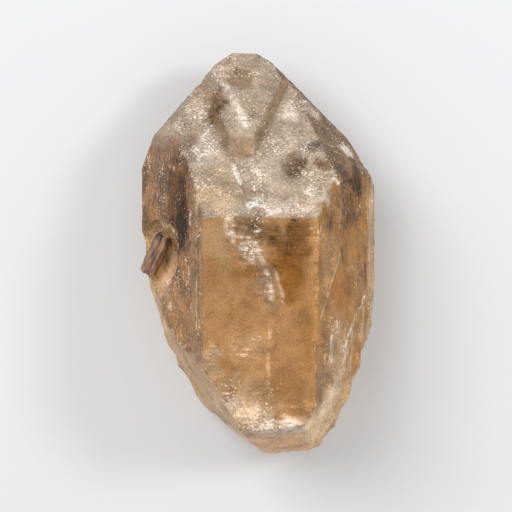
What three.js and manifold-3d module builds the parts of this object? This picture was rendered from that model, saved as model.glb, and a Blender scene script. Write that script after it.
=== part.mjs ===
// A citrine crystal point: one natural quartz crystal, broken from its bed and laid on a back prism face.
// Millimetres, +Z up. The crystal's long axis runs along Y with the tip at +Y, and its front face looks up.
import * as THREE from 'three';
import { mergeVertices } from 'three/addons/utils/BufferGeometryUtils.js';
import { ImprovedNoise } from 'three/addons/math/ImprovedNoise.js';
import Module from 'manifold-3d';

// Driving dimensions of the whole stone.
const LENGTH = 108;
const WIDTH = 63;
const THICKNESS = 50;

// Quartz always meets its own axis at this angle on a termination face, in degrees from that axis.
const TIP_TILT = 51.8;
const PRISM_TILT = 90;

// The left termination faces lean a little further, and a small bevel cuts the right shoulder.
const LEFT_TIP_TILT = 53.8;
const RIGHT_UNDER_TILT = 47.1;
const SHOULDER_TILT = 59;

// Front prism face: its two upright edges and the level edge where the front termination face starts.
const FRONT_LEFT = -14;
const FRONT_RIGHT = 14.9;
const FRONT_TOP = 8.7;

// Heights above the resting face where each flank is widest.
const LEFT_EDGE_HEIGHT = 16;
const RIGHT_EDGE_HEIGHT = 25.2;
const RIGHT_EDGE = 29.6;

// The smaller crystal raised on the front of the tip.
const SMALL_LEFT = -7.5;
const SMALL_RIGHT = -0.8;
const SMALL_FACE = 37.8;
const SMALL_TOP = 29.9;

// Growth plates standing on the faces, and the strip sunk beside the left front edge.
const TIP_PLATE = 0.45;
const FLANK_PLATE = 0.6;
const STRIP_WIDTH = 0.9;
const STRIP_DEPTH = 0.5;
const STRIP_LENGTH = 25;

// Grid of the broken surfaces, and the size and depth of the blocks that are cut away.
const BREAK_CELL = 2.6;
const WASTE = 400;
const BREAK_DEPTH = 30;

const wasm = await Module();
wasm.setup();
const noise = new ImprovedNoise();
const vector = (x, y, z) => new THREE.Vector3(x, y, z);

// Outward direction of a face: azimuth runs round the long axis from +X towards +Z, tilt is from that axis.
function faceNormal(azimuth, tilt) {
  const turn = THREE.MathUtils.degToRad(azimuth);
  const lean = THREE.MathUtils.degToRad(tilt);
  return vector(Math.cos(turn) * Math.sin(lean), Math.cos(lean), Math.sin(turn) * Math.sin(lean));
}

// A frame whose third axis is the outward direction and whose second axis runs up the surface.
function surfaceFrame(at, out, up = vector(0, 1, 0)) {
  const across = up.clone().cross(out).normalize();
  const upSurface = out.clone().cross(across).normalize();
  return new THREE.Matrix4().makeBasis(across, upSurface, out.clone().normalize()).setPosition(at);
}

// A closed geometry as a solid that can be joined and cut.
function solid(geometry) {
  const bare = geometry.clone();
  bare.deleteAttribute('normal');
  bare.deleteAttribute('uv');
  const merged = mergeVertices(bare, 1e-4);
  return new wasm.Manifold(new wasm.Mesh({
    numProp: 3,
    vertProperties: new Float32Array(merged.attributes.position.array),
    triVerts: new Uint32Array(merged.index.array),
  }));
}

// Everything outside one flat crystal face.
function beyondFace({ azimuth, tilt, at }) {
  const block = new THREE.BoxGeometry(WASTE, WASTE, WASTE);
  block.translate(0, 0, WASTE / 2);
  block.applyMatrix4(surfaceFrame(vector(...at), faceNormal(azimuth, tilt)));
  return solid(block);
}

// A blank a little larger than the stone, cut back to a list of crystal faces.
// A face may keep raised growth standing on it.
function grownCrystal(faces) {
  const blank = new THREE.BoxGeometry(WIDTH + 10, LENGTH + 14, THICKNESS + 10);
  blank.translate(0, 0, THICKNESS / 2);
  let body = solid(blank);
  for (const face of faces) {
    let waste = beyondFace(face);
    for (const raised of face.raised ?? []) {
      waste = waste.subtract(raised);
    }
    body = body.subtract(waste);
  }
  return body;
}

// A flat growth plate on a face, from its outline in that face's own across and up directions.
function growthPlate({ azimuth, tilt, at }, outline, thickness) {
  const shape = new THREE.Shape(outline.map(([across, up]) => new THREE.Vector2(across, up)));
  const plate = new THREE.ExtrudeGeometry(shape, { depth: thickness + 1, bevelEnabled: false });
  plate.translate(0, 0, -1);
  plate.applyMatrix4(surfaceFrame(vector(...at), faceNormal(azimuth, tilt)));
  return solid(plate);
}

// Relief of a broken surface: broad lumps with smaller chips on them, longer up the surface by stretch.
function brokenRelief(across, up, { lump, height, stretch = 1, seed }) {
  const a = across / lump;
  const b = up / (lump * stretch);
  const lumps = noise.noise(a, b, seed);
  const chips = noise.noise(a * 2.6, b * 2.6, seed + 7.3);
  return height * (lumps + 0.35 * chips);
}

// Everything outside a broken surface, whose near side is a grid moved by the relief and a hollow curve.
function beyondBreak({ at, out, up, width, length, cell = BREAK_CELL, dish = 0, relief }) {
  const columns = Math.round(width / cell);
  const rows = Math.round(length / cell);
  const slab = new THREE.BoxGeometry(width, length, BREAK_DEPTH, columns, rows, 1);
  slab.translate(0, 0, BREAK_DEPTH / 2);
  const points = slab.attributes.position;
  for (let i = 0; i < points.count; i += 1) {
    if (points.getZ(i) < BREAK_DEPTH / 2) {
      const across = points.getX(i);
      const along = points.getY(i);
      const curve = dish * (1 - (2 * across / width) ** 2 - (2 * along / length) ** 2);
      points.setZ(i, brokenRelief(across, along, relief) - curve);
    }
  }
  slab.applyMatrix4(surfaceFrame(vector(...at), vector(...out), vector(...up)));
  return solid(slab);
}

// Faces of the main crystal. Each passes through a point read off the stone.
const frontTip = { azimuth: 90, tilt: TIP_TILT, at: [0, FRONT_TOP, THICKNESS] };
const rightPrism = { azimuth: 31, tilt: PRISM_TILT, at: [FRONT_RIGHT, 0, THICKNESS] };
const backLeftPrism = { azimuth: 210, tilt: PRISM_TILT, at: [-WIDTH / 2, 0, LEFT_EDGE_HEIGHT] };

// The small crystal on the tip: its faces nearly continue the directions of the large ones.
function smallCrystal() {
  return grownCrystal([
    { azimuth: 90, tilt: PRISM_TILT, at: [0, 0, SMALL_FACE] },
    { azimuth: 155, tilt: PRISM_TILT, at: [SMALL_LEFT, 0, SMALL_FACE] },
    { azimuth: 30, tilt: PRISM_TILT, at: [SMALL_RIGHT, 0, SMALL_FACE] },
    { azimuth: 90, tilt: TIP_TILT, at: [0, SMALL_TOP, SMALL_FACE] },
  ]);
}

// A thin growth plate covers the right of the front termination face, with a stepped lower edge.
function tipPlate() {
  return growthPlate(frontTip, [
    [-6.2, 19.5], [-2.9, 7.6], [2.5, 8.4], [7, 5.6], [13, 4.3], [20, 3.6], [26, 30], [8, 60], [-6, 60],
  ], TIP_PLATE);
}

// A frosted wedge plate stands on the right flank beside the front edge and runs out to a point below.
function flankWedge() {
  return growthPlate(rightPrism, [
    [-2, 34], [12.6, 34], [12.4, 12], [12.1, 7], [12.6, -2],
    [9.4, -6.5], [6.6, -11], [3, -16], [1.2, -24], [-2, -26],
  ], FLANK_PLATE);
}

// A thin plate on the hidden back left flank, wedge-ended as growth plates are.
function backPlate() {
  return growthPlate(backLeftPrism, [
    [-24, 40], [-4, 40], [-5.5, 20], [-8, 6], [-8.8, -12], [-13, -20], [-24, -20],
  ], FLANK_PLATE);
}

// The front face stands on a ledge of its own, so the left flank is steeper beside it.
function frontLedge() {
  return grownCrystal([{ azimuth: 160, tilt: PRISM_TILT, at: [FRONT_LEFT, 0, THICKNESS] }]);
}

function mainCrystal() {
  return grownCrystal([
    { azimuth: 90, tilt: PRISM_TILT, at: [0, 0, THICKNESS] },
    { azimuth: 270, tilt: PRISM_TILT, at: [0, 0, 0] },
    { azimuth: 150, tilt: PRISM_TILT, at: [-21.1, 0, 34.2], raised: [frontLedge()] },
    { ...backLeftPrism, raised: [backPlate()] },
    { ...rightPrism, raised: [flankWedge()] },
    { azimuth: 330, tilt: PRISM_TILT, at: [RIGHT_EDGE, 0, RIGHT_EDGE_HEIGHT] },
    { ...frontTip, raised: [smallCrystal(), tipPlate()] },
    { azimuth: 145, tilt: LEFT_TIP_TILT, at: [-28.1, 31.5, 22.1] },
    { azimuth: 210, tilt: LEFT_TIP_TILT, at: [-27.8, 31.4, 22.1] },
    { azimuth: 31, tilt: TIP_TILT, at: [28.1, 25.1, 21.1] },
    { azimuth: 330, tilt: RIGHT_UNDER_TILT, at: [24.6, 30.5, 18.7] },
    { azimuth: 0, tilt: SHOULDER_TILT, at: [26.3, 27.8, 19] },
    { azimuth: 270, tilt: TIP_TILT, at: [0, 40, 0] },
  ]);
}

// A thin parallel crystal grown along the right edge, set back from the flank and ending in its own slope.
function edgeSlab() {
  return grownCrystal([
    { azimuth: 31, tilt: PRISM_TILT, at: [28, 0, 24.6] },
    { azimuth: 345, tilt: PRISM_TILT, at: [WIDTH / 2, 0, 17] },
    { azimuth: 90, tilt: PRISM_TILT, at: [0, 0, 27] },
    { azimuth: 180, tilt: PRISM_TILT, at: [20, 0, 0] },
    { azimuth: 270, tilt: PRISM_TILT, at: [30, 0, 5] },
    { azimuth: 31, tilt: TIP_TILT, at: [28.1, 23.6, 21.1] },
    { azimuth: 330, tilt: TIP_TILT, at: [30.2, 20.2, 19] },
    { azimuth: 330, tilt: 128, at: [31, -22, 18] },
  ]);
}

// The narrow sunk strip that follows the left front edge.
function frontStrip() {
  const strip = new THREE.BoxGeometry(STRIP_WIDTH, STRIP_LENGTH, STRIP_DEPTH * 2);
  strip.applyMatrix4(surfaceFrame(vector(-15.1, -7.8, 47), faceNormal(160, PRISM_TILT)));
  return solid(strip);
}

// A rounded hollow in the left flank, uneven like a fracture.
function flankHollow() {
  const bowl = new THREE.IcosahedronGeometry(1, 7);
  bowl.scale(11.8, 9.6, 6);
  const points = bowl.attributes.position;
  const point = vector(0, 0, 0);
  for (let i = 0; i < points.count; i += 1) {
    point.fromBufferAttribute(points, i);
    const swell = 1 + 0.09 * noise.noise(point.x / 4, point.y / 4, point.z / 4 + 2.5);
    points.setXYZ(i, point.x * swell, point.y * swell, point.z * swell);
  }
  bowl.applyMatrix4(surfaceFrame(vector(-27.6, -1.2, 24.4), faceNormal(150, 92)));
  return solid(bowl);
}

// The dark side crystal lying in the hollow: a bar with a groove along it and one chipped end.
function sideCrystal() {
  const section = new THREE.Shape([
    [-1.5, -2.4], [1.5, -2.4], [1.75, 0.2], [1.1, 1.3], [0.35, 0.75], [-0.1, 1], [-0.75, 1.55], [-1.5, 0.6],
  ].map(([across, high]) => new THREE.Vector2(across, high)));
  const bar = new THREE.ExtrudeGeometry(section, { depth: 12, bevelEnabled: false });
  bar.translate(0, 0, -6);
  const start = vector(-24.6, 4.2, 22.2);
  const end = vector(-29.3, -5.2, 19.2);
  const middle = start.clone().add(end).multiplyScalar(0.5);
  bar.applyMatrix4(surfaceFrame(middle, start.clone().sub(end), vector(-0.2, 0, 0.98)));
  return solid(bar);
}

// The broken places: left flank, lower left, lower right, the base in front, beside and behind,
// the chipped lower edge of the front face, the ribbed right flank and the tip.
function breaks() {
  return [
    beyondBreak({
      at: [-27.2, -14, 18], out: [-0.95, -0.28, 0.12], up: [0, 0, 1], width: 26, length: 66,
      relief: { lump: 7, height: 0.8, stretch: 0.7, seed: 2.2 },
    }),
    beyondBreak({
      at: [-20.2, -28.6, 20], out: [-0.84, -0.52, 0.16], up: [0, 0, 1], width: 44, length: 66,
      relief: { lump: 8, height: 1.1, stretch: 0.6, seed: 3.3 },
    }),
    beyondBreak({
      at: [22.3, -39, 24], out: [0.83, -0.5, 0.22], up: [-0.5, -0.83, 0.1], width: 60, length: 44, dish: -0.4,
      relief: { lump: 5, height: 1.2, stretch: 2.2, seed: 8.7 },
    }),
    beyondBreak({
      at: [4.8, -49.4, 36], out: [0.06, -0.955, 0.29], up: [0, 0.29, 0.955], width: 50, length: 44, dish: 0.5,
      relief: { lump: 11, height: 1.1, seed: 1.6 },
    }),
    beyondBreak({
      at: [-6.6, -48, 22], out: [-0.65, -0.75, 0.1], up: [0, 0.1, 0.99], width: 44, length: 64, dish: 0.4,
      relief: { lump: 9, height: 0.8, seed: 4.4 },
    }),
    beyondBreak({
      at: [4, -49.2, 9], out: [0.05, -0.87, -0.48], up: [0, -0.48, 0.87], width: 60, length: 44, dish: 1,
      relief: { lump: 9, height: 1.3, seed: 6.1 },
    }),
    beyondBreak({
      at: [2, -42.4, 49.4], out: [0, -0.16, 0.987], up: [0, 0.987, 0.16], width: 44, length: 18,
      relief: { lump: 5, height: 0.7, seed: 9.2 },
    }),
    beyondBreak({
      at: [28.3, -21.5, 24], out: [0.93, -0.13, 0.34], up: [0.13, 0.99, 0.05], width: 46, length: 30,
      relief: { lump: 3.6, height: 1, stretch: 4, seed: 5.8 },
    }),
    beyondBreak({
      at: [-3, 53.7, 16], out: [0, 0.995, -0.1], up: [0, 0.1, 0.995], width: 30, length: 26, cell: 1.7,
      relief: { lump: 3.2, height: 0.7, seed: 2.4 },
    }),
  ];
}

function crystalSolid() {
  let body = mainCrystal().add(edgeSlab());
  for (const waste of [...breaks(), frontStrip(), flankHollow()]) {
    body = body.subtract(waste);
  }
  return body.add(sideCrystal());
}

// The solid's surface as a geometry, moved so that the stone rests on z = 0 with its middle over the origin.
function restingGeometry(body) {
  const mesh = body.getMesh();
  const geometry = new THREE.BufferGeometry();
  geometry.setAttribute('position', new THREE.BufferAttribute(mesh.vertProperties, 3));
  geometry.setIndex(new THREE.BufferAttribute(mesh.triVerts, 1));
  geometry.computeBoundingBox();
  const middle = geometry.boundingBox.getCenter(vector(0, 0, 0));
  geometry.translate(-middle.x, -middle.y, -geometry.boundingBox.min.z);
  geometry.computeVertexNormals();
  return geometry;
}

const citrine = new THREE.MeshStandardMaterial({ color: 0xa97d51, roughness: 0.22, metalness: 0 });
const crystal = new THREE.Mesh(restingGeometry(crystalSolid()), citrine);
crystal.name = 'crystal_point';

const stone = new THREE.Group();
stone.add(crystal);

export default stone;
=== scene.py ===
"""A citrine crystal point on a pale floor: worn crystal faces, a dark side crystal and inner veils."""

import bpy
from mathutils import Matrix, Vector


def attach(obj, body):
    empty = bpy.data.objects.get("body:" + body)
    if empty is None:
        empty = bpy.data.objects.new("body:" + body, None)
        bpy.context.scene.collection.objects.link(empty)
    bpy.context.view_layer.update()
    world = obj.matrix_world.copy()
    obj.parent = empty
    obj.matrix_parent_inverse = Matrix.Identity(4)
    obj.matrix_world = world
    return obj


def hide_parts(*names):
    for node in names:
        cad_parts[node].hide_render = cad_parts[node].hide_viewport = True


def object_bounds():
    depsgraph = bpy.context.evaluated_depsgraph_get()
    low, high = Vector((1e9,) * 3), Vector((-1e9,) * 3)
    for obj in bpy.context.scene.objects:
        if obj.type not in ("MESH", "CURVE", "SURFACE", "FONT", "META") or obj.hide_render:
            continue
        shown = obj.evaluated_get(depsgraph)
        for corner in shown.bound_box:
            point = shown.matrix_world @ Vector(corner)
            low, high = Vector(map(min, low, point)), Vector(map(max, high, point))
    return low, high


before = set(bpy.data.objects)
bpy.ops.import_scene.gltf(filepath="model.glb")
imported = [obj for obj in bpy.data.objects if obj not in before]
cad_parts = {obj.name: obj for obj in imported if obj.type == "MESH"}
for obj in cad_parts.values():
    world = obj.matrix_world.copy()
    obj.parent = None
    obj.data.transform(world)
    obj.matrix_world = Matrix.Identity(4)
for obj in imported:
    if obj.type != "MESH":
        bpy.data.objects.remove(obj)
CAD_BOX = [list(corner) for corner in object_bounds()]

import math
from typing import NamedTuple

import bmesh
import bpy
import numpy as np
from bpy.props import FloatProperty, FloatVectorProperty, PointerProperty
from mathutils import Matrix, Vector, noise

bl_info = {
    "name": "Citrine Crystal Point",
    "version": (1, 0, 0),
    "blender": (4, 5, 0),
    "location": "3D View > Sidebar > Citrine",
    "description": "Builds the surface, side crystal, veils and stage of a citrine crystal point",
    "category": "Object",
}

MM = 0.001
PER_MM = (1 / MM, 1 / MM, 1 / MM)
STONE_NODE = "crystal_point"
QUARTZ_IOR = 1.544


# Colours

def linear(hex_colour):
    """An sRGB hex colour as linear RGBA."""
    channels = [int(hex_colour[i:i + 2], 16) / 255 for i in (1, 3, 5)]
    curve = [c / 12.92 if c <= 0.04045 else ((c + 0.055) / 1.055) ** 2.4 for c in channels]
    return (*curve, 1.0)


def tone(hex_colour):
    """An sRGB hex colour as a linear RGB array."""
    return np.array(linear(hex_colour)[:3])


# Settings

class StoneSettings(bpy.types.PropertyGroup):
    """Sizes and colours of the stone."""
    etch_depth: FloatProperty(
        name="Etch depth", description="Depth of the pits on the tip faces", default=0.22 * MM,
        min=0.0, unit="LENGTH", precision=5)
    striation_depth: FloatProperty(
        name="Striation depth", description="Depth of the level lines on the prism faces",
        default=0.08 * MM, min=0.0, unit="LENGTH", precision=5)
    hackle_depth: FloatProperty(
        name="Hackle depth", description="Depth of the roughness on broken surfaces", default=0.45 * MM,
        min=0.0, unit="LENGTH", precision=5)
    edge_wear: FloatProperty(
        name="Edge wear", description="How far the sharp edges are worn back", default=0.2 * MM,
        min=0.0, unit="LENGTH", precision=5)
    frost: FloatVectorProperty(
        name="Frost", description="Colour of the frosted skin", default=linear("#EADFD4")[:3],
        subtype="COLOR", size=3, min=0.0, max=1.0)


class StageSettings(bpy.types.PropertyGroup):
    """Floor, light and camera."""
    camera_height: FloatProperty(
        name="Camera height", description="Height of the camera over the floor", default=525 * MM,
        min=0.2, unit="LENGTH")
    view_width: FloatProperty(
        name="View width", description="Width seen at the middle of the stone", default=136.9 * MM,
        min=0.05, unit="LENGTH")
    key_power: FloatProperty(
        name="Key light", description="Power of the large soft light", default=9.5, min=0.0, unit="POWER")
    sky_strength: FloatProperty(
        name="Sky", description="Strength of the even light all round", default=0.8, min=0.0)
    floor_colour: FloatVectorProperty(
        name="Floor", description="Colour of the floor", default=linear("#C9C9CA")[:3],
        subtype="COLOR", size=3, min=0.0, max=1.0)


# Helpers

def add_node(tree, kind, inputs=None, **settings):
    """Adds a node, sets its properties, and fills or links its inputs by name or index."""
    node = tree.nodes.new(kind)
    for name, value in settings.items():
        setattr(node, name, value)
    for key, value in (inputs or {}).items():
        socket = node.inputs[key]
        if isinstance(value, bpy.types.NodeSocket):
            tree.links.new(value, socket)
        else:
            socket.default_value = value
    return node


def new_material(name):
    """An empty node material with its output node."""
    material = bpy.data.materials.new(name)
    material.use_nodes = True
    material.node_tree.nodes.clear()
    output = add_node(material.node_tree, "ShaderNodeOutputMaterial")
    return material, material.node_tree, output


def store(mesh, name, values):
    """Keeps one number per vertex on the mesh, for its material to read."""
    layer = mesh.attributes.new(name, "FLOAT", "POINT")
    layer.data.foreach_set("value", np.asarray(values, dtype=np.float32))


def new_piece(name, mesh, material):
    """A finished piece of the stone: at the origin, riding on the root body, with its given material in its
    one slot.
    """
    piece = bpy.data.objects.new(name, mesh)
    bpy.context.scene.collection.objects.link(piece)
    mesh.materials.clear()
    mesh.materials.append(material)
    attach(piece, "root")
    return piece


# Stone body

REMESH_DEPTH = 8
REMESH_SCALE = 0.82
WELD_DISTANCE = 0.001 * MM


def fine_copy():
    """The stone's solid on an even fine grid that keeps its sharp edges."""
    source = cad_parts[STONE_NODE]
    mesh = source.data.copy()
    bm = bmesh.new()
    bm.from_mesh(mesh)
    bmesh.ops.remove_doubles(bm, verts=bm.verts, dist=WELD_DISTANCE)
    bm.to_mesh(mesh)
    bm.free()
    blank = bpy.data.objects.new("stone_blank", mesh)
    bpy.context.scene.collection.objects.link(blank)
    remesh = blank.modifiers.new("Even grid", "REMESH")
    remesh.mode = "SHARP"
    remesh.octree_depth = REMESH_DEPTH
    remesh.scale = REMESH_SCALE
    remesh.sharpness = 1.0
    remesh.use_remove_disconnected = True
    graph = bpy.context.evaluated_depsgraph_get()
    fine = bpy.data.meshes.new_from_object(blank.evaluated_get(graph))
    bpy.data.objects.remove(blank)
    bpy.data.meshes.remove(mesh)
    return fine


class Finish(NamedTuple):
    """The tint, clearness and frost of a kind of surface."""
    tint: str
    clear: float
    frost: float


class Face(NamedTuple):
    """The finish of one crystal face, found by the direction it looks in, in degrees: its tint is partly
    the face's own colour and partly painted light and shade for that facing.
    """
    azimuth: float
    tilt: float
    tint: str
    clear: float
    frost: float


# Face tints hold the faces' own colour plus painted facet shade: the tip faces painted lighter, the left
# and right flanks darker.
FRONT = Face(90, 90, "#F6C088", 0.78, 0.06)
FRONT_TIP = Face(90, 51.8, "#DECCB8", 0.62, 0.42)
UNDER = Face(270, 90, "#F8F0E2", 0.98, 0.03)
FACES = [
    FRONT,
    FRONT_TIP,
    UNDER,
    Face(160, 90, "#A88056", 0.5, 0.48),
    Face(150, 90, "#8E5E26", 0.5, 0.48),
    Face(155, 90, "#A08064", 0.55, 0.35),
    Face(145, 53.8, "#D2BEA8", 0.6, 0.6),
    Face(210, 90, "#F5E6D0", 0.94, 0.1),
    Face(210, 53.8, "#EFDFCA", 0.88, 0.3),
    Face(270, 51.8, "#F4E7D4", 0.94, 0.15),
    Face(330, 90, "#F5E6D0", 0.94, 0.1),
    Face(330, 47.1, "#EFDFCA", 0.88, 0.3),
    Face(0, 59, "#A4805C", 0.55, 0.52),
    Face(345, 90, "#EBC49C", 0.6, 0.35),
    Face(31, 90, "#BA8644", 0.6, 0.36),
    Face(31, 51.8, "#80603F", 0.5, 0.46),
]
BROKEN = Finish("#F2CDA0", 0.7, 0.3)
GROOVE = Finish("#B29A82", 0.45, 0.35)


class Zone(NamedTuple):
    """A soft-edged region of the stone, in millimetres, with its own tint, clearness and frost."""
    centre: tuple
    radii: tuple
    tint: str
    clear: float
    frost: float
    strength: float = 1.0


ZONES = [
    # Left flank
    Zone((-25, 22, 28), (6, 9, 8), "#7C6048", 0.5, 0.46, 0.8),
    Zone((-21, 13, 34), (6, 15, 8), "#44260A", 0.2, 0.24, 0.92),
    Zone((-19.6, 8.5, 37), (3.2, 7, 5), "#331A06", 0.1, 0.16, 0.9),
    Zone((-20.6, 3, 35), (1.6, 4.4, 4), "#2E1A0A", 0.15, 0.2, 0.8),
    Zone((-22.5, 28, 32), (4, 4, 4), "#7A5A40", 0.4, 0.3, 0.7),
    Zone((-29, 8, 20), (4, 5, 6), "#7E5A34", 0.4, 0.12, 0.9),
    Zone((-23, -6, 24), (5, 8, 7), "#EBC09A", 0.4, 0.5, 0.9),
    Zone((-20, -18, 36), (4, 7, 7), "#C8925A", 0.5, 0.45, 0.7),
    # Front face
    Zone((-9, 3, 50), (5, 7, 4), "#F4CC9C", 0.75, 0.08, 0.8),
    Zone((-2.3, 5.6, 50), (5.4, 4.4, 4), "#957659", 0.6, 0.6, 0.92),
    Zone((-1.4, 0, 50), (4, 3.4, 4), "#AE8E6E", 0.55, 0.6, 0.9),
    Zone((1.2, -5, 50), (2.8, 4.2, 4), "#A2846A", 0.55, 0.52, 0.9),
    Zone((3.6, -10.6, 50), (3, 4.4, 4), "#B49274", 0.6, 0.5, 0.8),
    Zone((4.4, 4, 50), (3, 3.2, 4), "#745634", 0.65, 0.12, 0.88),
    Zone((10.4, 6.4, 50), (4.2, 2.8, 4), "#5E3C18", 0.6, 0.12, 0.9),
    Zone((9.4, 1.4, 50), (5, 4, 4), "#8A5A2A", 0.75, 0.1, 0.85),
    Zone((5.6, -1.6, 50), (2.8, 4, 4), "#86582A", 0.7, 0.1, 0.85),
    Zone((8.6, -6.4, 50), (3.6, 6.4, 4), "#C48434", 0.8, 0.0, 0.9),
    Zone((13, -20, 50), (4, 14, 4), "#EAB274", 0.8, 0.04, 0.7),
    Zone((-5.6, 2.6, 50), (1.6, 1.3, 4), "#C07E3C", 0.7, 0.0, 0.85),
    Zone((-3, -5, 50), (4, 1.8, 4), "#CC9058", 0.75, 0.12, 0.75),
    Zone((-12.6, -6, 50), (2.2, 5, 4), "#E2A06E", 0.75, 0.03, 0.6),
    Zone((-3, -24, 50), (6, 4, 4), "#ECC294", 0.72, 0.5, 0.8),
    Zone((-4, -35.5, 50), (7, 5, 4), "#E0BC94", 0.65, 0.58, 0.8),
    Zone((7, -33, 50), (5, 4, 4), "#D09C66", 0.8, 0.12, 0.7),
    # Right flank
    Zone((24, 15, 34), (5.5, 12, 9), "#68441E", 0.4, 0.36, 0.9),
    Zone((26.2, 19.5, 31), (1.6, 6, 5), "#33200E", 0.2, 0.1, 0.85),
    Zone((18.6, 10, 45), (2.4, 6.5, 4), "#7A5024", 0.4, 0.12, 0.85),
    Zone((26, 5, 31), (3, 5, 5), "#B07A3C", 0.6, 0.1, 0.7),
    Zone((18.4, -3, 45.5), (3.2, 10, 5), "#CC9C66", 0.5, 0.4, 0.85),
    Zone((21, -11, 39), (3.5, 8, 5), "#DA9430", 0.65, 0.0, 0.9),
    Zone((27.5, -7, 28.5), (2.4, 5, 5), "#9A7450", 0.5, 0.25, 0.75),
    Zone((30.5, 4, 20), (1.6, 24, 9), "#E2BC98", 0.55, 0.35, 0.9),
    Zone((21, -27, 40), (5, 12, 8), "#E4C096", 0.5, 0.66, 0.8),
    Zone((16.5, -34, 47), (2.2, 6, 4), "#B89878", 0.6, 0.4, 0.7),
    # Broken foot
    Zone((-5, -41.5, 48), (10, 5, 5), "#EED0B0", 0.35, 0.8, 0.9),
    Zone((7, -45, 46), (11, 3.8, 8), "#F2D6BA", 0.3, 0.84, 0.92),
    Zone((-12, -29, 49), (2.6, 7, 4), "#DDBB94", 0.5, 0.64, 0.85),
    Zone((3, -51, 26), (22, 5, 15), "#FAC698", 0.42, 0.25, 0.9),
    Zone((15, -45, 30), (7, 8, 18), "#FFDCB0", 0.4, 0.35, 0.8),
    Zone((19, -39, 38), (4, 6, 12), "#FFE0BE", 0.3, 0.5, 0.85),
    # Tip faces
    Zone((-26, 32, 26), (6, 5, 6), "#C0A892", 0.6, 0.4, 0.7),
    Zone((-18.2, 28, 35), (2.2, 6, 4), "#8F7A68", 0.5, 0.5, 0.8),
    Zone((-13.5, 27, 36), (3.2, 6, 5), "#E6D8CA", 0.5, 0.72, 0.8),
    Zone((-11, 14, 46), (6.5, 5, 4), "#FADCB6", 0.6, 0.42, 0.85),
    Zone((-11, 39, 29), (3.6, 7, 4), "#74583F", 0.45, 0.3, 0.88),
    Zone((-5, 47, 25), (4, 4.6, 3.6), "#9A8468", 0.6, 0.3, 0.85),
    Zone((2.4, 45, 26), (2.6, 4.6, 4), "#C4B09C", 0.5, 0.54, 0.8),
    Zone((-9.5, 19, 41.5), (5, 7, 5), "#DCC4A6", 0.6, 0.38, 0.75),
    Zone((-1, 38, 31), (4, 6, 5), "#CAB49C", 0.6, 0.36, 0.8),
    Zone((-4, 27, 37.8), (3.4, 3.0, 1.0), "#C6A684", 0.55, 0.14, 0.9),
    Zone((1, 20, 42), (4.6, 9, 6), "#EFDCC6", 0.5, 0.55, 0.8),
    Zone((8, 25, 39), (8, 9, 7), "#D4C2B2", 0.5, 0.64, 0.6),
    Zone((9.4, 22.4, 40), (3.6, 5.4, 4), "#6E5640", 0.5, 0.42, 0.9),
    Zone((16.2, 28.4, 35.5), (2.8, 3, 3), "#80766A", 0.5, 0.42, 0.9),
    Zone((17, 22.6, 39.8), (3, 3.4, 3), "#7C6048", 0.5, 0.4, 0.9),
    Zone((7.5, 12, 47.6), (8.5, 2.8, 3), "#DCCABC", 0.3, 0.78, 0.8),
    Zone((15.5, 14.6, 46), (3.6, 3, 3), "#DCCABC", 0.3, 0.74, 0.8),
    Zone((8.5, 38, 28), (2.4, 4, 3), "#E6D8CC", 0.3, 0.85, 0.8),
    Zone((14, 38.6, 24), (4, 4, 4), "#D4C0AE", 0.5, 0.6, 0.8),
    Zone((7.6, 30, 34), (2, 5, 4), "#CCB8A4", 0.4, 0.58, 0.75),
    Zone((20.8, 23.6, 36), (2.6, 5, 4), "#70502F", 0.5, 0.35, 0.85),
    Zone((23.6, 27.3, 25), (2, 3, 3), "#E8D8CC", 0.25, 0.86, 0.85),
    Zone((-1, 12.6, 47.2), (2.3, 2, 2.4), "#F8F1EB", 0.05, 1.0, 0.95),
    Zone((20, 19, 42.3), (1.4, 1.4, 1.4), "#EFE4DA", 0.05, 0.9, 0.8),
]


class Stroke(NamedTuple):
    """A line on the surface in millimetres, a groove where it has depth, with its own tint and frost."""
    points: tuple
    width: float
    depth: float
    tint: str
    frost: float
    strength: float = 1.0


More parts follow.
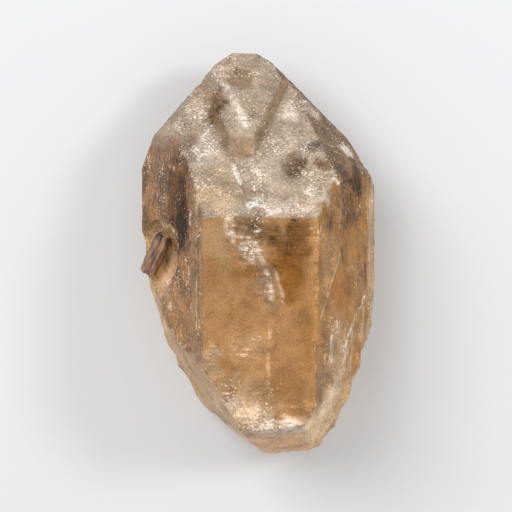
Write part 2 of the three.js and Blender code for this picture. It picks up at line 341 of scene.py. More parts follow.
STROKES = [
    # Tip faces
    Stroke(((-6.8, 23.1, 38.9), (-3.1, 14.1, 46), (1, 12.8, 47)), 0.5, 0.3, "#8A745E", 0.3),
    # A white line along the crack's lip: partly frost, partly a painted highlight on the slit.
    Stroke(((-6.5, 23.2, 38.9), (-5.6, 20.8, 40.8), (-4.7, 18.3, 42.7)), 0.6, 0.1, "#F6F0EA", 1.0),
    Stroke(((-8.9, 45.2, 26.2), (-6.6, 41.4, 29.1), (-4.5, 36, 33.3), (-3.1, 33.5, 35.3)),
           1.5, 0.0, "#E6DACE", 0.72, 0.65),
    Stroke(((4.4, 40.2, 28.2), (2.4, 36.2, 31.6), (0.2, 31.4, 35.1), (-0.9, 28.2, 37.2)),
           0.5, 0.1, "#7E644C", 0.2, 0.8),
    Stroke(((-11.8, 40.4, 27.8), (-9.8, 35, 32.4), (-8.6, 32, 34.8), (-7.5, 28.2, 37.2)),
           0.7, 0.1, "#6E543E", 0.2, 0.8),
    Stroke(((-12.2, 33.8, 30.5), (-16.3, 28.3, 34.9), (-15.1, 22.8, 39.2)), 0.6, 0.1, "#EFE6DE", 0.85, 0.8),
    # Left flank
    Stroke(((-15.9, 4, 45.1), (-15.9, -8, 45.1), (-15.9, -19.8, 45.1)), 0.4, 0.1, "#D2BFA6", 0.6, 0.7),
    Stroke(((-14.8, 5, 47.4), (-14.8, -8, 47.4), (-14.8, -20, 47.4)), 0.6, 0.0, "#8A5A2C", 0.05, 0.8),
    Stroke(((-17.6, 10, 40.5), (-17.6, 7.6, 40.5)), 0.5, 0.0, "#D8CCC0", 0.8, 0.8),
    Stroke(((-29.6, 5.7, 17.6), (-27.7, 6.8, 19.2), (-25.3, 7.5, 23.6), (-23.3, 6.6, 30.7),
            (-21.7, 5, 33.4)),
           0.9, 0.0, "#D8B898", 0.4, 0.8),
    Stroke(((-21, 2.1, 34.7), (-21, -2, 32), (-22.3, -6, 29), (-24.4, -9.8, 28.7)),
           0.5, 0.0, "#DCC0A0", 0.5, 0.7),
    # Right flank
    Stroke(((14.6, 8.5, 50), (14.6, -5, 50), (14.6, -14, 50)), 0.6, 0.1, "#6E4620", 0.0, 0.95),
    Stroke(((21.4, 8.4, 40), (21.6, 2, 39.5), (22.4, -1.8, 38)), 0.8, 0.3, "#5E4430", 0.2, 0.8),
    Stroke(((21.2, 0, 40.4), (21, -2.1, 40.9), (17.9, -10.8, 45.9), (15.5, -18.6, 50)),
           0.4, 0.0, "#D8C09C", 0.6, 0.7),
    Stroke(((28.4, 20, 27.4), (28.6, 0, 27), (28.6, -8, 26.8)), 0.35, 0.3, "#6E4A2A", 0.1, 0.8),
    Stroke(((28.6, -11.7, 26), (26.7, -14.8, 30), (23.8, -21.2, 35), (23, -24.3, 36.2)),
           0.6, 0.0, "#EBDCC8", 0.95, 0.9),
    # White streaks on the right wedge: partly frost, partly painted glints.
    Stroke(((19.1, -21.7, 42.8), (19.1, -28.1, 42.8)), 0.7, 0.1, "#EBDCC8", 0.95, 0.9),
    # Front face
    Stroke(((3, -17.6, 50), (2.6, -30, 50), (2.3, -39.7, 49.9)), 0.55, 0.1, "#E6CFA8", 0.5, 0.45),
    Stroke(((4, -38.9, 49.8), (10.7, -38.9, 49.7)), 0.35, 0.1, "#E0C8A8", 0.6, 0.6),
    Stroke(((-7, 8, 50), (-6.9, 4.9, 50), (-3.9, 1.5, 50), (-1.4, -1.2, 50)),
           1.5, 0.0, "#E0CDB8", 0.74, 0.85),
    Stroke(((-2.4, 3.4, 50), (0.2, 0.4, 50), (1.6, -4, 50), (3, -8.4, 50), (3.4, -11.6, 50)),
           0.8, 0.0, "#E0CCB6", 0.64, 0.85),
    Stroke(((4.5, -5.3, 50), (5.8, -9.2, 50), (6.5, -12.6, 50)), 0.5, 0.0, "#DCC6AA", 0.5, 0.6),
    # White dashes under the tip's front edge: partly frosted chips, partly painted glints.
    Stroke(((0, 8.1, 50), (2.2, 8.1, 50)), 0.35, 0.0, "#F4EEE8", 1.0, 0.9),
    Stroke(((-0.9, 5.4, 50), (0.8, 6, 50)), 0.4, 0.0, "#F2EAE2", 1.0, 0.9),
    # Foot facets
    Stroke(((13.3, -43.6, 46), (16.9, -34.8, 46.5)), 0.4, 0.1, "#E6D0B4", 0.6, 0.7),
    Stroke(((16.3, -47.8, 25.4), (19.4, -36.6, 39.9)), 0.5, 0.1, "#E6D0B4", 0.5, 0.6),
]


# How the finishes meet and spread. Sizes and places are in millimetres and tilts in degrees. The
# spans of zones and strokes are shares of their radii and widths.

SHARP_ANGLE = math.radians(18)
SHARP_SPREAD = 2
FACE_SPREAD = 3
BROKEN_SPREAD = 2
FACING_START = 0.97
FACING_RANGE = 0.02
TIP_TILT = 70
PRISM_TILT = 90
FOOT_TO_TIP = (4, 12)
GROOVE_MIDDLE = -3.2
GROOVE_HALF = (11.8, 13.5)
GROOVE_LOWEST = (24, 20)
ZONE_SPAN = (0.55, 1.25)
STROKE_SPAN = (0.3, 1.4)
WANDER_SIZE = 3.0
WANDER_REACH = 1.8
FINE_WANDER_SIZE = 1.1
FINE_WANDER_REACH = 0.7
STROKE_WANDER = 1.2
STROKE_CLOUDING = 0.7
FULL_FROST = 0.8
# Whitening of sharp edges: worn chips and a painted highlight along the edges.
WEAR_AND_HIGHLIGHT_FROST = 0.15
LUMINANCE = (0.21, 0.72, 0.07)
SMOKY_BELOW = 0.3
SMOKY_RANGE = 0.25


def smooth_values(values, edges, rounds):
    """Spreads one value per vertex over its neighbours."""
    count = np.maximum(np.bincount(edges.ravel(), minlength=len(values)), 1)
    for _ in range(rounds):
        total = np.bincount(edges[:, 0], values[edges[:, 1]], len(values))
        total += np.bincount(edges[:, 1], values[edges[:, 0]], len(values))
        values = 0.5 * values + 0.5 * total / count
    return values


def edge_sharpness(bm):
    """1 on vertices that lie on a sharp edge, 0 on flat places."""
    values = np.zeros(len(bm.verts))
    for edge in bm.edges:
        if len(edge.link_faces) == 2 and edge.calc_face_angle(0.0) > SHARP_ANGLE:
            values[edge.verts[0].index] = 1.0
            values[edge.verts[1].index] = 1.0
    return values


def noise_at(points, size, shift=0.0):
    """Smooth noise from -1 to 1 at each point, its lumps as large as size, which may differ by axis."""
    scaled = points / np.asarray(size, dtype=float) + shift
    return np.array([noise.noise(Vector(point)) for point in scaled])


def noise_ways(points, size, shifts):
    """Three noises at each point, one for each axis."""
    return np.stack([noise_at(points, size, shift) for shift in shifts], axis=1)


def facing(normals, face):
    """How squarely each normal looks in a face's direction, from 0 to 1."""
    turn = math.radians(face.azimuth)
    lean = math.radians(face.tilt)
    direction = (math.cos(turn) * math.sin(lean), math.cos(lean), math.sin(turn) * math.sin(lean))
    return np.clip((normals @ np.array(direction) - FACING_START) / FACING_RANGE, 0.0, 1.0)


def falloff(distance, inner, outer):
    """1 within inner, 0 beyond outer and a soft curve between."""
    t = np.clip((outer - distance) / (outer - inner), 0.0, 1.0)
    return t * t * (3 - 2 * t)


def line_distance(points, line):
    """Distance of each point from a line of straight stretches."""
    best = np.full(len(points), np.inf)
    corners = np.array(line, dtype=float)
    for start, end in zip(corners, corners[1:]):
        run = end - start
        along = np.clip((points - start) @ run / (run @ run), 0.0, 1.0)
        nearest = start + along[:, None] * run
        best = np.minimum(best, np.linalg.norm(points - nearest, axis=1))
    return best


def relief(points, weights, settings):
    """Depth in metres of the natural relief at each point, by the kind of surface."""
    # Tip faces: grain about 1 mm wide and pits somewhat wider.
    grain = 0.5 + 0.5 * noise_at(points, 0.9)
    pits = np.clip(noise_at(points, 1.6, 3.1) * 2.5 - 0.3, 0, 1)
    etched = 0.5 * grain + 0.5 * pits
    # Front face: level lines under 1 mm apart in patches 11 mm wide, on broad swells.
    level = noise_at(points, (14, 0.75, 14))
    broad = noise_at(points, (5, 9, 5), 11.0)
    patch = np.clip(noise_at(points, 11, 9.2) + 0.35, 0, 1)
    striated = 0.6 * patch * (0.5 + 0.5 * level) + 0.4 * (0.5 + 0.5 * broad)
    # Side faces: ribs that run along the stone, roughened by small lumps.
    ribbed = 0.5 + 0.4 * noise_at(points, (1.1, 9, 1.6)) + 0.25 * noise_at(points, 1.4, 5.5)
    # Broken surface: sharp steps and grain.
    steps = np.abs(noise_at(points, (2.4, 4.5, 2.4), 3.7))
    hackled = 1.4 * steps + 0.3 * grain
    depth = settings.etch_depth * etched * weights["tip"]
    depth += settings.striation_depth * striated * weights["level"]
    depth += 1.6 * settings.striation_depth * ribbed * weights["side"]
    depth += settings.hackle_depth * hackled * weights["broken"]
    return depth


def share_out(normals, edges):
    """Each face's share of every point, and how far a point is of each kind of surface."""
    shares = np.array([smooth_values(facing(normals, face), edges, FACE_SPREAD) for face in FACES])
    crystal = np.clip(1.9 * shares.sum(axis=0) - 0.15, 0, 1)
    shares = shares / np.maximum(shares.sum(axis=0), 1e-6)
    tip = sum(share for face, share in zip(FACES, shares) if face.tilt < TIP_TILT) * crystal
    prism = sum(share for face, share in zip(FACES, shares) if face.tilt == PRISM_TILT) * crystal
    level = (shares[FACES.index(FRONT)] + 0.3 * shares[FACES.index(UNDER)]) * crystal
    return shares, {
        "tip": tip,
        "prism": prism,
        "level": level,
        "side": np.clip(crystal - tip - level, 0, 1),
        "broken": smooth_values(1 - crystal, edges, BROKEN_SPREAD),
    }


class Skin:
    """Tint, clearness and frost at every point of the surface."""

    def __init__(self, tint, clear, frost):
        self.tint = tint
        self.clear = clear
        self.frost = frost

    def lay(self, finish, weight):
        """Moves every point towards a finish, by its own weight."""
        self.tint += (tone(finish.tint) - self.tint) * weight[:, None]
        self.clear += (finish.clear - self.clear) * weight
        self.frost += (finish.frost - self.frost) * weight


def face_skin(points, shares, weights):
    """The skin that the crystal faces, the broken foot and the tip's groove give every point."""
    broken = weights["broken"]
    foot = falloff(points[:, 1], *FOOT_TO_TIP)
    tint = (tone(GROOVE.tint) + (tone(BROKEN.tint) - tone(GROOVE.tint)) * foot[:, None]) * broken[:, None]
    clear = (GROOVE.clear + (BROKEN.clear - GROOVE.clear) * foot) * broken
    frost = (GROOVE.frost + (BROKEN.frost - GROOVE.frost) * foot) * broken
    # The face tints carry painted facet light and shade along with each face's own colour.
    for face, share in zip(FACES, shares):
        weight = share * (1 - broken)
        tint += tone(face.tint) * weight[:, None]
        clear += face.clear * weight
        frost += face.frost * weight
    total = np.maximum(broken + (1 - broken) * (shares.sum(axis=0) > 0.5), 0.05)
    skin = Skin(tint / total[:, None], clear / total, frost / total)
    inside = weights["prism"] * falloff(np.abs(points[:, 0] - GROOVE_MIDDLE), *GROOVE_HALF)
    inside *= (points[:, 1] > GROOVE_LOWEST[0]) * (points[:, 2] > GROOVE_LOWEST[1])
    skin.lay(GROOVE, inside)
    return skin


def lay_strokes(skin, points, wander):
    """Draws the strokes on the skin and returns their depth in metres at each point."""
    depth = np.zeros(len(points))
    broken_up = np.clip(0.65 + 1.4 * noise_at(points, 1.3, 4.9), 0.15, 1.0)
    for stroke in STROKES:
        away = line_distance(points + min(STROKE_WANDER, 0.5 * stroke.width) * wander, stroke.points)
        weight = stroke.strength * broken_up
        weight = weight * falloff(away, STROKE_SPAN[0] * stroke.width, STROKE_SPAN[1] * stroke.width)
        depth += stroke.depth * MM * weight
        skin.tint += (tone(stroke.tint) - skin.tint) * weight[:, None]
        skin.clear *= 1 - STROKE_CLOUDING * weight
        skin.frost += (stroke.frost - skin.frost) * weight
    return depth


def weather(mesh, settings):
    """Gives every face of the fine mesh its own relief, and stores tint, clearness and frost on it."""
    bm = bmesh.new()
    bm.from_mesh(mesh)
    bm.normal_update()
    bm.verts.ensure_lookup_table()
    edges = np.array([[e.verts[0].index, e.verts[1].index] for e in bm.edges])
    sharp = smooth_values(edge_sharpness(bm), edges, SHARP_SPREAD)
    points = np.array([v.co[:] for v in bm.verts]) / MM
    normals = np.array([v.normal[:] for v in bm.verts])
    shares, weights = share_out(normals, edges)
    skin = face_skin(points, shares, weights)

    wander = noise_ways(points, WANDER_SIZE, (1.5, 5.5, 9.5))
    fine_wander = noise_ways(points, FINE_WANDER_SIZE, (2.5, 6.5, 8.5))
    wandered = points + WANDER_REACH * wander + FINE_WANDER_REACH * fine_wander
    for zone in ZONES:
        reach = np.linalg.norm((wandered - np.array(zone.centre)) / np.array(zone.radii), axis=1)
        skin.lay(zone, zone.strength * falloff(reach, *ZONE_SPAN))

    # Sharp edges are worn back in the relief and whitened with frost, partly worn chips and partly a
    # painted highlight along the edges.
    wear = np.clip(1.4 * sharp, 0, 1) * np.clip(0.5 + noise_at(points, 2.2), 0, 1)
    patchy = np.clip(0.8 + 0.9 * noise_at(points, 6.5, 2.7), 0.4, 1.15)
    skin.frost = np.where(skin.frost > FULL_FROST, skin.frost, skin.frost * patchy)
    depth = relief(points, weights, settings) + settings.edge_wear * wear
    depth += lay_strokes(skin, points, wander)
    skin.frost = np.clip(skin.frost + WEAR_AND_HIGHLIGHT_FROST * wear, 0, 1)
    # Dark tints get the strong mottling, both in the smoky zones and on faces darkened by painted facet
    # shade.
    smoke = np.clip((SMOKY_BELOW - skin.tint @ np.array(LUMINANCE)) / SMOKY_RANGE, 0, 1)

    placed = (points - normals * (depth / MM)[:, None]) * MM
    placed = np.clip(placed, CAD_BOX[0], CAD_BOX[1])
    for vert, place in zip(bm.verts, placed):
        vert.co = place
    bm.to_mesh(mesh)
    bm.free()
    store(mesh, "clear", skin.clear)
    store(mesh, "frost", skin.frost)
    store(mesh, "smoke", smoke)
    store(mesh, "side", weights["side"])
    store(mesh, "level", weights["level"])
    layer = mesh.attributes.new("tint", "FLOAT_COLOR", "POINT")
    rgba = np.concatenate([skin.tint, np.ones((len(points), 1))], axis=1)
    layer.data.foreach_set("color", rgba.astype(np.float32).ravel())
    mesh.shade_smooth()


def citrine_material(settings):
    """Natural smoky citrine, part glassy and part frosted: clear honey depth under an etched skin."""
    material, tree, output = new_material("citrine_natural_frosted")
    coords = add_node(tree, "ShaderNodeTexCoord")
    place = add_node(tree, "ShaderNodeMapping", {"Vector": coords.outputs["Object"], "Scale": PER_MM})
    tint, clear, frost, smoke, side, level = (
        add_node(tree, "ShaderNodeAttribute", attribute_name=name)
        for name in ("tint", "clear", "frost", "smoke", "side", "level"))

    # Clouds 6 mm wide that break up finely, and grain of 0.5 mm: fibres along the stone on
    # the side faces, lines across it on the front face and even grain elsewhere.
    cloud = add_node(tree, "ShaderNodeTexNoise", {
        "Vector": place.outputs[0], "Scale": 0.17, "Detail": 9.0, "Roughness": 0.68, "Distortion": 0.3})
    grain = add_node(tree, "ShaderNodeTexNoise", {
        "Vector": place.outputs[0], "Scale": 2.0, "Detail": 3.0, "Roughness": 0.6})
    lengthwise = add_node(tree, "ShaderNodeMapping", {
        "Vector": place.outputs[0], "Scale": (1.6, 0.6, 1.6)})
    streak = add_node(tree, "ShaderNodeTexNoise", {
        "Vector": lengthwise.outputs[0], "Scale": 1.0, "Detail": 5.0, "Roughness": 0.65, "Distortion": 0.5})
    crosswise = add_node(tree, "ShaderNodeMapping", {
        "Vector": place.outputs[0], "Scale": (0.16, 1.25, 0.16)})
    line = add_node(tree, "ShaderNodeTexNoise", {
        "Vector": crosswise.outputs[0], "Scale": 1.0, "Detail": 3.0, "Roughness": 0.55})
    fibre_side = add_node(tree, "ShaderNodeMix", {
        0: side.outputs["Fac"], 2: grain.outputs[0], 3: streak.outputs[0]}, data_type="FLOAT")
    fibre = add_node(tree, "ShaderNodeMix", {
        0: level.outputs["Fac"], 2: fibre_side.outputs[0], 3: line.outputs[0]}, data_type="FLOAT")
    field = add_node(tree, "ShaderNodeMix", {
        0: 0.5, 2: cloud.outputs[0], 3: fibre.outputs[0]}, data_type="FLOAT")

    # The body colour drifts gently where the stone is clear, shows dark windows where it is
    # frosted, and is strongly mottled where it is smoky.
    clear_shade = add_node(tree, "ShaderNodeMapRange", {
        "Value": cloud.outputs[0], "From Min": 0.36, "From Max": 0.64, "To Min": 0.72, "To Max": 1.24})
    window_shade = add_node(tree, "ShaderNodeMapRange", {
        "Value": field.outputs[0], "From Min": 0.42, "From Max": 0.57, "To Min": 0.38, "To Max": 1.22})
    smoke_shade = add_node(tree, "ShaderNodeMapRange", {
        "Value": field.outputs[0], "From Min": 0.43, "From Max": 0.6, "To Min": 0.2, "To Max": 2.6})
    frost_shade = add_node(tree, "ShaderNodeMix", {
        0: frost.outputs["Fac"], 2: clear_shade.outputs[0], 3: window_shade.outputs[0]}, data_type="FLOAT")
    dark_shade = add_node(tree, "ShaderNodeMix", {
        0: smoke.outputs["Fac"], 2: frost_shade.outputs[0], 3: smoke_shade.outputs[0]}, data_type="FLOAT")
    grain_shade = add_node(tree, "ShaderNodeMapRange", {
        "Value": grain.outputs[0], "From Min": 0.38, "From Max": 0.62, "To Min": 0.82, "To Max": 1.18})
    both = add_node(tree, "ShaderNodeMath", {
        0: dark_shade.outputs[0], 1: grain_shade.outputs[0]}, operation="MULTIPLY")
    varied = add_node(tree, "ShaderNodeMix", {
        0: 1.0, 6: tint.outputs["Color"], 7: both.outputs[0]}, data_type="RGBA", blend_type="MULTIPLY")

    # Frost gathers where the clouds and the grain are both high, and in loose white flecks that are partly
    # frosted pits and partly painted glints of light.
    limit = add_node(tree, "ShaderNodeMapRange", {
        "Value": frost.outputs["Fac"], "To Min": 0.66, "To Max": 0.44})
    above = add_node(tree, "ShaderNodeMath", {
        0: field.outputs[0], 1: limit.outputs[0]}, operation="SUBTRACT")
    drift = add_node(tree, "ShaderNodeMapRange", {
        "Value": above.outputs[0], "From Min": 0.0, "From Max": 0.07})
    flock = add_node(tree, "ShaderNodeTexNoise", {"Vector": place.outputs[0], "Scale": 0.22, "Detail": 2.0})
    raised = add_node(tree, "ShaderNodeMath", {
        0: flock.outputs[0], 1: 0.35, 2: grain.outputs[0]}, operation="MULTIPLY_ADD")
    speck_limit = add_node(tree, "ShaderNodeMapRange", {
        "Value": frost.outputs["Fac"], "To Min": 0.9, "To Max": 0.7})
    speck_above = add_node(tree, "ShaderNodeMath", {
        0: raised.outputs[0], 1: speck_limit.outputs[0]}, operation="SUBTRACT")
    # Painted glints: these white flecks are partly frosted pits and partly glints of light painted into the
    # colour.
    pit_and_glint_speck = add_node(tree, "ShaderNodeMapRange", {
        "Value": speck_above.outputs[0], "From Min": 0.0, "From Max": 0.05})
    thick = add_node(tree, "ShaderNodeMath", {
        0: drift.outputs[0], 1: 0.7, 2: pit_and_glint_speck.outputs[0]}, operation="MULTIPLY_ADD", use_clamp=True)
    amount = add_node(tree, "ShaderNodeMath", {0: thick.outputs[0], 1: 0.94}, operation="MULTIPLY")
    skin = add_node(tree, "ShaderNodeMix", {
        0: amount.outputs[0], 6: varied.outputs[2], 7: (*settings.frost, 1.0)}, data_type="RGBA")
    open_part = add_node(tree, "ShaderNodeMath", {0: 1.0, 1: amount.outputs[0]}, operation="SUBTRACT")
    passing = add_node(tree, "ShaderNodeMath", {
        0: clear.outputs["Fac"], 1: open_part.outputs[0]}, operation="MULTIPLY")
    roughness = add_node(tree, "ShaderNodeMapRange", {
        "Value": frost.outputs["Fac"], "To Min": 0.06, "To Max": 0.4})

    # Fibres and lines stand up a little, and the grain roughens the frosted skin.
    frost_grain = add_node(tree, "ShaderNodeMath", {
        0: grain.outputs[0], 1: frost.outputs["Fac"]}, operation="MULTIPLY")
    height = add_node(tree, "ShaderNodeMath", {
        0: fibre.outputs[0], 1: 0.6, 2: frost_grain.outputs[0]}, operation="MULTIPLY_ADD")
    bump = add_node(tree, "ShaderNodeBump", {
        "Height": height.outputs[0], "Strength": 0.8, "Distance": 0.4 * MM})
    glass = add_node(tree, "ShaderNodeBsdfPrincipled", {
        "Base Color": skin.outputs[2], "IOR": QUARTZ_IOR, "Roughness": roughness.outputs[0],
        "Transmission Weight": passing.outputs[0], "Specular IOR Level": 0.05,
        "Specular Tint": (0.3, 0.28, 0.26, 1.0), "Normal": bump.outputs[0]})
    tree.links.new(glass.outputs[0], output.inputs["Surface"])
    depth = add_node(tree, "ShaderNodeVolumeAbsorption", {"Color": (0.885, 0.71, 0.13, 1), "Density": 16.0})
    tree.links.new(depth.outputs[0], output.inputs["Volume"])
    return material


class CITRINE_OT_body(bpy.types.Operator):
    """Builds the stone's fine surface in place of its solid"""
    bl_idname = "citrine.body"
    bl_label = "Stone body"

    def execute(self, context):
        settings = context.scene.citrine_stone
        mesh = fine_copy()
        weather(mesh, settings)
        piece = new_piece("stone_body", mesh, citrine_material(settings))
        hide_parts(STONE_NODE)
        return {"FINISHED"}


# Side crystal

# Sizes and places are in millimetres.
SIDE_TOP = Vector((-25.3, 4.3, 22.2))
SIDE_FOOT = Vector((-29.7, -4.83, 19.2))
SIDE_SKY = Vector((-0.2, 0.0, 0.98))
SIDE_WIDTH = 4.7
SIDE_HEIGHT = 4.3
SIDE_LENGTH = 12.3
SIDE_CUTS = 29
SIDE_TAPER = 0.2
SWELL_AT = 0.75
SWELL_SPACING = 2.5
RAGGED_END = 0.9
END_WEAR = 0.25
DARK_END = (1.0, 1.2, 5.4)
DARK_END_RADII = (1.6, 1.6, 1.5)
DARK_GROOVE_AT = -0.5
DARK_GROOVE_LOWEST = 1.0


def bar_frame(top, foot, sky):
    """Matrix of a bar whose length runs from foot to top and whose back looks to the sky."""
    along = (top - foot).normalized()
    across = sky.cross(along).normalized()
    back = along.cross(across)
    frame_matrix = Matrix((across, back, along)).transposed().to_4x4()
    frame_matrix.translation = 0.5 * (top + foot)
    return frame_matrix


def ridged_bar():
    """A bar with a groove and fine ribs along its back and broken ends, in millimetres about the origin."""
    bm = bmesh.new()
    bmesh.ops.create_cube(bm, size=1.0)
    bmesh.ops.subdivide_edges(bm, edges=bm.edges[:], cuts=SIDE_CUTS, use_grid_fill=True)
    bmesh.ops.scale(bm, vec=(SIDE_WIDTH, SIDE_HEIGHT, SIDE_LENGTH), verts=bm.verts)
    for vert in bm.verts:
        across, high, along = vert.co
        # The long edges are rounded by drawing each point in towards a swollen box.
        parts = (abs(2 * across / SIDE_WIDTH), abs(2 * high / SIDE_HEIGHT), abs(2 * along / SIDE_LENGTH))
        swollen = (parts[0] ** 3 + parts[1] ** 3 + 0.8 * parts[2] ** 9) ** (1 / 3)
        shrink = min(1.0, max(parts) / swollen) if swollen > 0 else 1.0
        across, high = across * shrink, high * shrink
        rib = noise.noise(Vector((across / 0.42, high / 0.6, along / 13)))
        chip = noise.noise(Vector((across / 1.1, high / 1.1, along / 1.6 + 4)))
        if high > 0:
            swell = 0.92 + 0.08 * math.cos(2 * math.pi * (across - SWELL_AT) / SWELL_SPACING)
            high = high * swell + 0.2 * rib - 0.5 * max(0.0, chip)
        across = across * (1 - SIDE_TAPER * abs(along) / SIDE_LENGTH) + 0.12 * rib + 0.25 * chip
        end = abs(along) / (0.5 * SIDE_LENGTH)
        if end > RAGGED_END:
            ragged = noise.noise(Vector((across / 0.8, high / 1.0, 3.0)))
            along -= math.copysign(END_WEAR + 0.5 * max(0.0, ragged), along)
        vert.co = (across, high, along)
    bmesh.ops.smooth_vert(
        bm, verts=bm.verts[:], factor=0.25, use_axis_x=True, use_axis_y=True, use_axis_z=True)
    return bm


def side_crystal_material():
    """Dark smoky quartz, grown: purple-brown with lengthwise ribs that catch a dull light."""
    material, tree, output = new_material("smoky_quartz_striated")
    rib = add_node(tree, "ShaderNodeAttribute", attribute_name="rib")
    dark = add_node(tree, "ShaderNodeAttribute", attribute_name="dark")
    brown = add_node(tree, "ShaderNodeValToRGB", {"Fac": rib.outputs["Fac"]})
    brown.color_ramp.elements[0].color = linear("#4C2F1C")
    brown.color_ramp.elements[0].position = 0.25
    brown.color_ramp.elements[1].color = linear("#B0886A")
    brown.color_ramp.elements[1].position = 0.8
    deep = add_node(tree, "ShaderNodeMix", {
        0: dark.outputs["Fac"], 6: brown.outputs[0], 7: linear("#20150F")}, data_type="RGBA")
    rough = add_node(tree, "ShaderNodeMapRange", {
        "Value": rib.outputs["Fac"], "To Min": 0.25, "To Max": 0.5})
    quartz = add_node(tree, "ShaderNodeBsdfPrincipled", {
        "Base Color": deep.outputs[2], "IOR": QUARTZ_IOR, "Roughness": rough.outputs[0],
        "Transmission Weight": 0.15})
    tree.links.new(quartz.outputs[0], output.inputs["Surface"])
    return material


class CITRINE_OT_side_crystal(bpy.types.Operator):
    """Builds the dark ribbed crystal that lies in the hollow of the left flank"""
    bl_idname = "citrine.side_crystal"
    bl_label = "Side crystal"

    def execute(self, context):
        bm = ridged_bar()
        local = np.array([v.co[:] for v in bm.verts])
        rib = 0.5 + 0.32 * noise_at(local, (0.3, 0.5, 9)) + 0.3 * noise_at(local, (0.9, 0.9, 2.5), 3.3)
        dark = falloff(np.linalg.norm((local - DARK_END) / DARK_END_RADII, axis=1), 0.4, 1.2)
        groove = falloff(np.abs(local[:, 0] - DARK_GROOVE_AT), 0.2, 0.6)
        groove *= local[:, 1] > DARK_GROOVE_LOWEST
        dark = np.clip(dark + 0.6 * groove * falloff(np.abs(local[:, 2] + 1), 1.5, 3.5), 0, 0.95)
        bm.transform(Matrix.Scale(MM, 4) @ bar_frame(SIDE_TOP, SIDE_FOOT, SIDE_SKY))
        for vert in bm.verts:
            vert.co = np.clip(vert.co, CAD_BOX[0], CAD_BOX[1])
        mesh = bpy.data.meshes.new("side_crystal")
        bm.to_mesh(mesh)
        bm.free()
        store(mesh, "rib", rib)
        store(mesh, "dark", dark)
        mesh.shade_smooth()
        new_piece("side_crystal", mesh, side_crystal_material())
        return {"FINISHED"}


# Veils inside the stone

class Veil(NamedTuple):
    """A healed crack inside the stone: its middle line and width in millimetres, lean, tint and cover."""
    name: str
    line: tuple
    width: float
    lean: float
    tint: str
    cover: float


VEILS = [
    Veil("veil_plume", ((-6.9, 7, 46), (-4.4, 1.4, 46.5), (-0.6, -2.2, 47), (1.4, -7, 46.5),
                        (3.6, -12.6, 45)), 5.0, 0.35, "#E9E2DA", 0.9),
    Veil("veil_arc", ((-8, 1, 45), (-6, -3, 46), (-1, -5.5, 46), (3, -5, 45)), 3.2, 0.2, "#C89A66", 0.7),
    Veil("veil_shoulder", ((6, 5, 46), (9, 0, 45), (11, -6, 44)), 6.0, 0.6, "#8A5A2C", 0.7),
    Veil("veil_small", ((-10, 45, 23), (-6, 38, 29), (-3, 33, 34)), 3.0, 0.3, "#F2ECE4", 0.85),
    Veil("veil_low", ((-9, -20, 44), (-2, -26, 43), (6, -30, 42)), 8.0, 0.5, "#D9BE96", 0.45),
    Veil("veil_right", ((20, -4, 30), (19, -16, 32), (16, -26, 34)), 7.0, 0.7, "#D8A860", 0.5),
]


VEIL_STEPS = (72, 18)
VEIL_ACROSS = Vector((1, 0.25, 0)).normalized()
VEIL_WAVE = 4
VEIL_STRAY = 0.9


def line_point(line, share):
    """Point at a share of a line of straight stretches."""
    spans = len(line) - 1
    step = min(int(share * spans), spans - 1)
    return Vector(line[step]).lerp(Vector(line[step + 1]), share * spans - step)


def veil_mesh(veil):
    """A curved sheet along the veil's line, its edges wandering, in metres."""
    bm = bmesh.new()
    bmesh.ops.create_grid(bm, x_segments=VEIL_STEPS[0], y_segments=VEIL_STEPS[1], size=0.5)
    fades = []
    for vert in bm.verts:
        share = vert.co.x + 0.5
        side = vert.co.y
        fades.append(min(1.0, 1.6 * math.sin(math.pi * share)) * (1 - (2 * side) ** 2))
        place = line_point(veil.line, share)
        wide = veil.width * (0.35 + 0.65 * math.sin(math.pi * min(1.0, share + 0.12)))
        stray = noise.noise_vector(place / VEIL_WAVE + Vector((0, 0, 3 * side)))
        place = place + VEIL_ACROSS * (wide * side) + Vector((0, 0, -veil.lean * wide * side))
        vert.co = (place + VEIL_STRAY * stray) * MM
    bmesh.ops.smooth_vert(
        bm, verts=bm.verts[:], factor=0.5, use_axis_x=True, use_axis_y=True, use_axis_z=True)
    mesh = bpy.data.meshes.new(veil.name)
    bm.to_mesh(mesh)
    bm.free()
    store(mesh, "fade", fades)
    mesh.shade_smooth()
    return mesh


def veil_material(veil):
    """Healed crack in quartz: a wispy film of tiny bubbles that scatters light inside the clear stone."""
    material, tree, output = new_material("healed_crack_" + veil.name)
    coords = add_node(tree, "ShaderNodeTexCoord")
    place = add_node(tree, "ShaderNodeMapping", {"Vector": coords.outputs["Object"], "Scale": PER_MM})
    wisp = add_node(tree, "ShaderNodeTexNoise", {
        "Vector": place.outputs[0], "Scale": 0.5, "Detail": 6.0, "Roughness": 0.7, "Distortion": 1.5})
    alpha = add_node(tree, "ShaderNodeMapRange", {
        "Value": wisp.outputs[0], "From Min": 0.38, "From Max": 0.56, "To Min": 0.0, "To Max": veil.cover})
    fade = add_node(tree, "ShaderNodeAttribute", attribute_name="fade")
    cover = add_node(tree, "ShaderNodeMath", {
        0: alpha.outputs[0], 1: fade.outputs["Fac"]}, operation="MULTIPLY")
    film = add_node(tree, "ShaderNodeBsdfPrincipled", {
        "Base Color": linear(veil.tint), "Roughness": 0.7, "Alpha": cover.outputs[0]})
    tree.links.new(film.outputs[0], output.inputs["Surface"])
    return material


class CITRINE_OT_veils(bpy.types.Operator):
    """Builds the pale and amber veils inside the stone"""
    bl_idname = "citrine.veils"
    bl_label = "Inner veils"

    def execute(self, context):
        for veil in VEILS:
            new_piece(veil.name, veil_mesh(veil), veil_material(veil))
        return {"FINISHED"}


# Stage

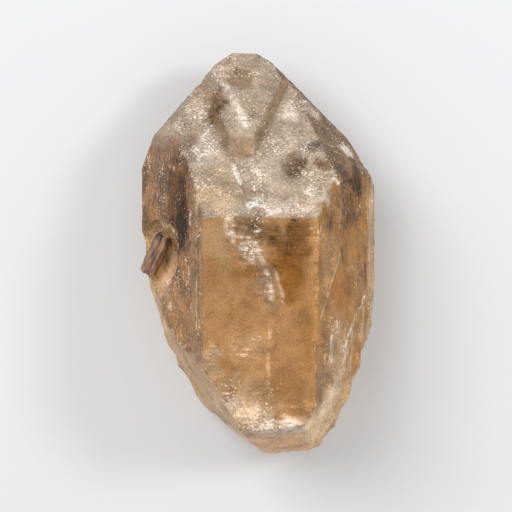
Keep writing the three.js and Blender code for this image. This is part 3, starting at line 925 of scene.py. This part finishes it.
# Sizes and places are in metres. Only the sensor's width is in millimetres.
FLOOR_SIZE = 2.5
KEY_PLACE = (-0.55, 0.45, 0.9)
KEY_SIZE = 0.7
EDGE_PLACE = (0.5, 0.15, 0.6)
EDGE_SIZE = 0.16
EDGE_SHARE = 0.22
LIGHT_AIM = Vector((0, 0, 0.025))
CAMERA_X = -0.53 * MM
CAMERA_Y = -0.8 * MM
SENSOR_WIDTH = 36.0


def aimed_light(name, place, size, power):
    """A soft square light aimed at the middle of the stone, place and size in metres."""
    lamp = bpy.data.lights.new(name, "AREA")
    lamp.size = size
    lamp.energy = power
    holder = bpy.data.objects.new(name, lamp)
    holder.location = place
    aim = LIGHT_AIM - Vector(place)
    holder.rotation_euler = aim.to_track_quat("-Z", "Y").to_euler()
    bpy.context.scene.collection.objects.link(holder)


class CITRINE_OT_stage(bpy.types.Operator):
    """Sets the pale floor, the soft light and the camera that looks straight down"""
    bl_idname = "citrine.stage"
    bl_label = "Stage"

    def execute(self, context):
        scene = context.scene
        settings = scene.citrine_stage
        bm = bmesh.new()
        bmesh.ops.create_grid(bm, x_segments=8, y_segments=8, size=FLOOR_SIZE)
        mesh = bpy.data.meshes.new("floor")
        bm.to_mesh(mesh)
        bm.free()
        floor = bpy.data.objects.new("floor", mesh)
        scene.collection.objects.link(floor)
        material, tree, output = new_material("matte_paper")
        paper = add_node(tree, "ShaderNodeBsdfPrincipled", {
            "Base Color": (*settings.floor_colour, 1.0), "Roughness": 0.9})
        tree.links.new(paper.outputs[0], output.inputs["Surface"])
        mesh.materials.append(material)
        world = bpy.data.worlds.new("studio")
        world.use_nodes = True
        sky = world.node_tree.nodes["Background"]
        sky.inputs["Color"].default_value = linear("#F4F5F6")
        sky.inputs["Strength"].default_value = settings.sky_strength
        scene.world = world
        aimed_light("key_softbox", KEY_PLACE, KEY_SIZE, settings.key_power)
        aimed_light("edge_softbox", EDGE_PLACE, EDGE_SIZE, EDGE_SHARE * settings.key_power)
        lens = bpy.data.cameras.new("overhead")
        lens.sensor_width = SENSOR_WIDTH
        middle = 0.5 * (CAD_BOX[0][2] + CAD_BOX[1][2])
        lens.lens = SENSOR_WIDTH * (settings.camera_height - middle) / settings.view_width
        camera = bpy.data.objects.new("overhead", lens)
        camera.location = (CAMERA_X, CAMERA_Y, settings.camera_height)
        scene.collection.objects.link(camera)
        scene.camera = camera
        scene.view_settings.view_transform = "Standard"
        return {"FINISHED"}


class CITRINE_PT_panel(bpy.types.Panel):
    """The steps that build the citrine point"""
    bl_label = "Citrine Point"
    bl_idname = "CITRINE_PT_panel"
    bl_space_type = "VIEW_3D"
    bl_region_type = "UI"
    bl_category = "Citrine"

    def draw(self, context):
        for operator in STEPS:
            self.layout.operator(operator.bl_idname)


STEPS = (CITRINE_OT_body, CITRINE_OT_side_crystal, CITRINE_OT_veils, CITRINE_OT_stage)
CLASSES = (StoneSettings, StageSettings, *STEPS, CITRINE_PT_panel)


def register():
    for cls in CLASSES:
        bpy.utils.register_class(cls)
    bpy.types.Scene.citrine_stone = PointerProperty(type=StoneSettings)
    bpy.types.Scene.citrine_stage = PointerProperty(type=StageSettings)


def unregister():
    del bpy.types.Scene.citrine_stage
    del bpy.types.Scene.citrine_stone
    for cls in reversed(CLASSES):
        bpy.utils.unregister_class(cls)


def main():
    register()
    bpy.ops.citrine.body()
    bpy.ops.citrine.side_crystal()
    bpy.ops.citrine.veils()
    bpy.ops.citrine.stage()


if __name__ == "__main__":
    main()
